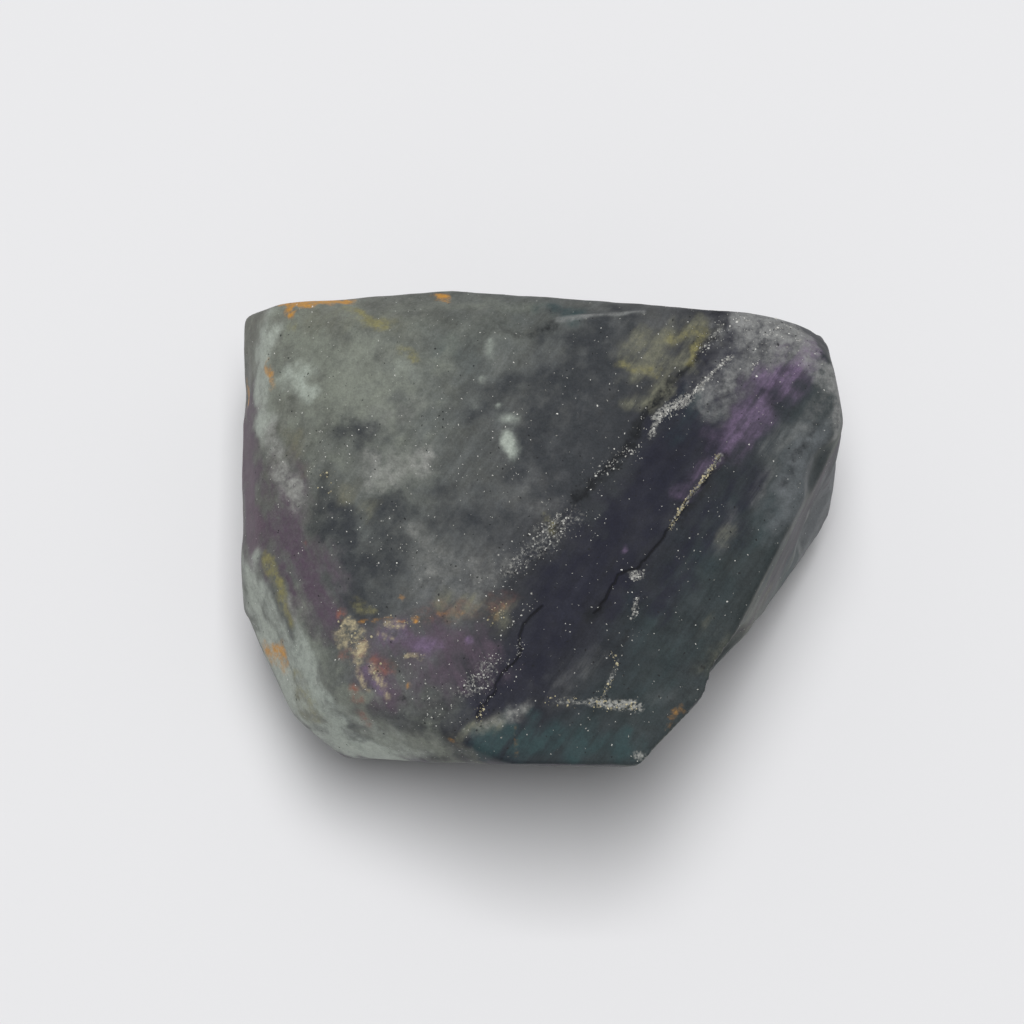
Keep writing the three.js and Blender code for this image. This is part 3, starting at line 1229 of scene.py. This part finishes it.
def specks_and_glints(tree, where, dust, scale, largest, rarity, rarity_in_dust):
    """White where a random cell of the stone shows a speck at the skin, and that speck's tone."""
    cells = add_node(tree, "ShaderNodeTexVoronoi", {"Vector": where, "Scale": scale})
    luck = channels(tree, cells.outputs["Color"])
    size = spread(tree, luck[1], 0.0, 1.0, largest * 0.35, largest)
    inside = maths(tree, "LESS_THAN", cells.outputs["Distance"], size)
    needed = spread(tree, dust, 0.0, 1.0, rarity, rarity_in_dust)
    chosen = maths(tree, "GREATER_THAN", luck[0], needed)
    return maths(tree, "MULTIPLY", inside, chosen), luck[2]


dust = painted(tree, "dust")
jitter = vectors(tree, "SCALE", noise(tree, where, 6.0, 2.0).outputs["Color"], 0.25)[0]
strewn = vectors(tree, "ADD", where, jitter)[0]
# Pale specks: partly pale grains, partly painted glints.
for kind in SPECKS_AND_GLINTS:
    speck_and_glint, shade = specks_and_glints(tree, strewn, dust, *kind)
    pale = blend(tree, shade, rgb(128, 128, 122), rgb(220, 220, 215))
    colour = blend(tree, speck_and_glint, colour, pale)
# Painted shade: dark dots for the shade inside tiny pits.
elsewhere = vectors(tree, "ADD", strewn, PINHOLE_SHIFT)[0]
shaded_pinhole, _ = specks_and_glints(tree, elsewhere, dust, *SHADED_PINHOLES)
shaded_pinhole = maths(tree, "MULTIPLY", shaded_pinhole, PINHOLE_SHADE_SHARE)
colour = blend(tree, shaded_pinhole, colour, rgb(30, 31, 33))
print("kinds of speck:", len(SPECKS_AND_GLINTS) + 1)

# %% [markdown]
# ## The stone's surface
# Rubbed fluorite is waxy: rough, with a weak highlight, a trace of powdery sheen, and a little light
# that enters and leaves again close by. The bump is only for grain finer than the mesh.

# %% Stone surface
tree.links.new(colour, shader.inputs["Base Color"])
tree.links.new(spread(tree, cloudy[1], 0.3, 0.7, 0.58, 0.78), shader.inputs["Roughness"])
shader.inputs["Specular IOR Level"].default_value = 0.15
shader.inputs["Sheen Weight"].default_value = 0.08
shader.inputs["Sheen Roughness"].default_value = 0.5
shader.inputs["Subsurface Weight"].default_value = 0.1
shader.inputs["Subsurface Radius"].default_value = (1.0, 1.0, 1.0)
shader.inputs["Subsurface Scale"].default_value = 0.6 * MM
rubbed = {"Strength": 0.35, "Distance": 0.06 * MM, "Height": fine[2]}
bump = add_node(tree, "ShaderNodeBump", rubbed)
tree.links.new(bump.outputs[0], shader.inputs["Normal"])
stone.data.materials.clear()
stone.data.materials.append(stone_finish)
print("stone finish has", len(tree.nodes), "nodes")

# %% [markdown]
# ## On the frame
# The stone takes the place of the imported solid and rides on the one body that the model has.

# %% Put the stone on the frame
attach(stone, "root")
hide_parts("fluorite")
print(stone.name, "takes the place of the packed solid")

# %% [markdown]
# ## Grains in the seams
# The seams carry loose white and cream grains that stand a little proud of the skin. One grain
# is made as a ball with its points pushed about, and copies of it are strewn along the
# seams and joined. Each seam has a count, a scatter in pixels and a trail.

# %% Seams that hold grains
SEAMS = {
    "white_grains": [
        (200, 3, SEAM),
        (120, 6, [(690, 398), (668, 410), (658, 420)]),
        (40, 7, [(722, 323), (708, 345), (698, 356)]),
        (14, 4, [(752, 366), (758, 362)]),
        (90, 14, [(515, 565), (545, 535), (572, 520)]),
        (36, 6, [(550, 527), (562, 514)]),
        (60, 9, [(600, 476), (618, 458), (636, 446)]),
        (80, 13, [(466, 686), (496, 662)]),
        (30, 4, [(521, 640), (518, 656)]),
        (36, 4, [(638, 598), (636, 612), (633, 618)]),
        (34, 5, [(632, 578), (642, 574)]),
        (60, 18, [(730, 322), (800, 335)]),
        (24, 10, [(540, 600), (505, 625)]),
    ],
    "cream_grains": [
        (190, 2.6, CREAM_SEAM),
        (34, 4, [(611, 652), (618, 668), (606, 690), (600, 702)]),
        (60, 6, [(590, 703), (610, 706), (637, 706)]),
        (34, 5, [(482, 706), (478, 719)]),
        (20, 8, [(548, 699), (577, 702)]),
        (40, 12, [(345, 628), (360, 645)]),
        (30, 9, [(492, 622), (500, 606)]),
        (26, 7, [(385, 625), (420, 620)]),
        (20, 8, [(322, 470), (330, 490)]),
        (16, 8, [(372, 664), (382, 686)]),
    ],
}
print("grains to strew:", sum(count for seams in SEAMS.values() for count, _, _ in seams))

# %% [markdown]
# ## Strewing
# A grain's place is found as a mark is, by a line of sight, and it is sunk a little into the skin.
# Most grains are small: the third power of a random number is mostly near 0.

# %% Strew the grains
GRAIN_RADIUS = (0.03 * MM, 0.13 * MM)
GRAIN_SUNK = 0.35
GRAIN_ROUGH = 0.35


def add_grain(name):
    grain = add_ball(1, (0, 0, 0), detail=1)
    grain.name = name
    bpy.ops.object.mode_set(mode="EDIT")
    bpy.ops.transform.vertex_random(offset=GRAIN_ROUGH, seed=3)
    bpy.ops.object.mode_set(mode="OBJECT")
    return grain


def along(pixels, share):
    whole = share * (len(pixels) - 1)
    i = min(int(whole), len(pixels) - 2)
    part = whole - i
    return [a + (b - a) * part for a, b in zip(pixels[i], pixels[i + 1])]


def strew(name, seams):
    smallest, largest = GRAIN_RADIUS
    pattern = add_grain(name)
    grains = []
    for count, scatter, pixels in seams:
        for _ in range(count):
            px, py = along(pixels, dice.random())
            px += dice.gauss(0, scatter / 2)
            py += dice.gauss(0, scatter / 2)
            place, normal = mark(px, py)
            if place is None:
                continue
            radius = smallest + (largest - smallest) * dice.random() ** 3
            grain = bpy.data.objects.new(name, pattern.data.copy())
            bpy.context.collection.objects.link(grain)
            grain.location = place - normal * radius * GRAIN_SUNK
            grain.scale = [radius * dice.uniform(0.7, 1.3) for _ in range(3)]
            grain.rotation_euler = [dice.uniform(0, math.tau) for _ in range(3)]
            grains.append(grain)
    bpy.data.objects.remove(pattern)
    whole = join(grains)
    bpy.ops.object.transform_apply(location=True, rotation=True, scale=True)
    whole.name = name
    print(name, len(grains))
    return whole


skin = skin_of(stone)
strewn_grains = {name: strew(name, seams) for name, seams in SEAMS.items()}

# %% [markdown]
# ## The grains' finish
# Every grain has its own shade, from dull to bright, and its own gloss. A Voronoi texture with
# cells about as big as a grain gives each place a random value for both.

# %% Grain finish
GRAIN_TINTS = {
    "white_grains": (rgb(100, 100, 97), rgb(206, 205, 200)),
    "cream_grains": (rgb(104, 99, 80), rgb(198, 188, 154)),
}


def grain_finish(name, dull, bright):
    made, tree, shader = material(name)
    cells = add_node(tree, "ShaderNodeTexVoronoi", {"Vector": millimetres(tree), "Scale": 4.0})
    luck = channels(tree, cells.outputs["Color"])
    tree.links.new(blend(tree, luck[0], dull, bright), shader.inputs["Base Color"])
    tree.links.new(spread(tree, luck[1], 0.0, 1.0, 0.35, 0.7), shader.inputs["Roughness"])
    return made


for name, grains in strewn_grains.items():
    grains.data.materials.append(grain_finish(name, *GRAIN_TINTS[name]))
    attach(grains, "root")
    print(name, "has", len(grains.data.polygons), "faces")

# %% [markdown]
# ## Floor
# The stage is one plain pale plane. It reaches far past the frame, so it has no edge to see, and a
# rough finish keeps the lamp's reflection off it.

# %% Floor
FLOOR_SIDE = 4
FLOOR_WHITE = (0.8, 0.8, 0.815, 1)
bpy.ops.object.select_all(action="DESELECT")
bpy.ops.mesh.primitive_plane_add(size=FLOOR_SIDE, location=(0, 0, 0))
floor = bpy.context.object
floor.name = "floor"
white, tree, shader = material("white_floor")
shader.inputs["Base Color"].default_value = FLOOR_WHITE
shader.inputs["Roughness"].default_value = 0.9
shader.inputs["Specular IOR Level"].default_value = 0.1
floor.data.materials.append(white)
print("floor side, in m:", FLOOR_SIDE)

# %% [markdown]
# ## Light
# The photo's shadow is soft on all sides and longest at the front, so the light is one rectangular
# softbox high overhead, a little to the back. A faint white surround fills the shadow.

# %% Light
SURROUND = 0.25
SOFTBOX_PLACE = Vector((0, 0.08, 1.0))
SOFTBOX_SIDES = (0.34, 0.6)
SOFTBOX_POWER = 8.4

world = bpy.data.worlds.new("studio")
world.use_nodes = True
world.node_tree.nodes["Background"].inputs["Color"].default_value = (1, 1, 1, 1)
world.node_tree.nodes["Background"].inputs["Strength"].default_value = SURROUND
bpy.context.scene.world = world
bpy.context.scene.view_settings.view_transform = "Standard"


def softbox(name, place, sides, power):
    bpy.ops.object.light_add(type="AREA", location=place)
    lamp = bpy.context.object
    lamp.name = name
    lamp.data.shape = "RECTANGLE"
    lamp.data.size, lamp.data.size_y = sides
    lamp.data.energy = power
    lamp.rotation_euler = (-lamp.location).to_track_quat("-Z", "Y").to_euler()
    return lamp


lamp = softbox("overhead_softbox", SOFTBOX_PLACE, SOFTBOX_SIDES, SOFTBOX_POWER)
print(lamp.name, "hangs at, in m:", [round(c, 2) for c in lamp.location])
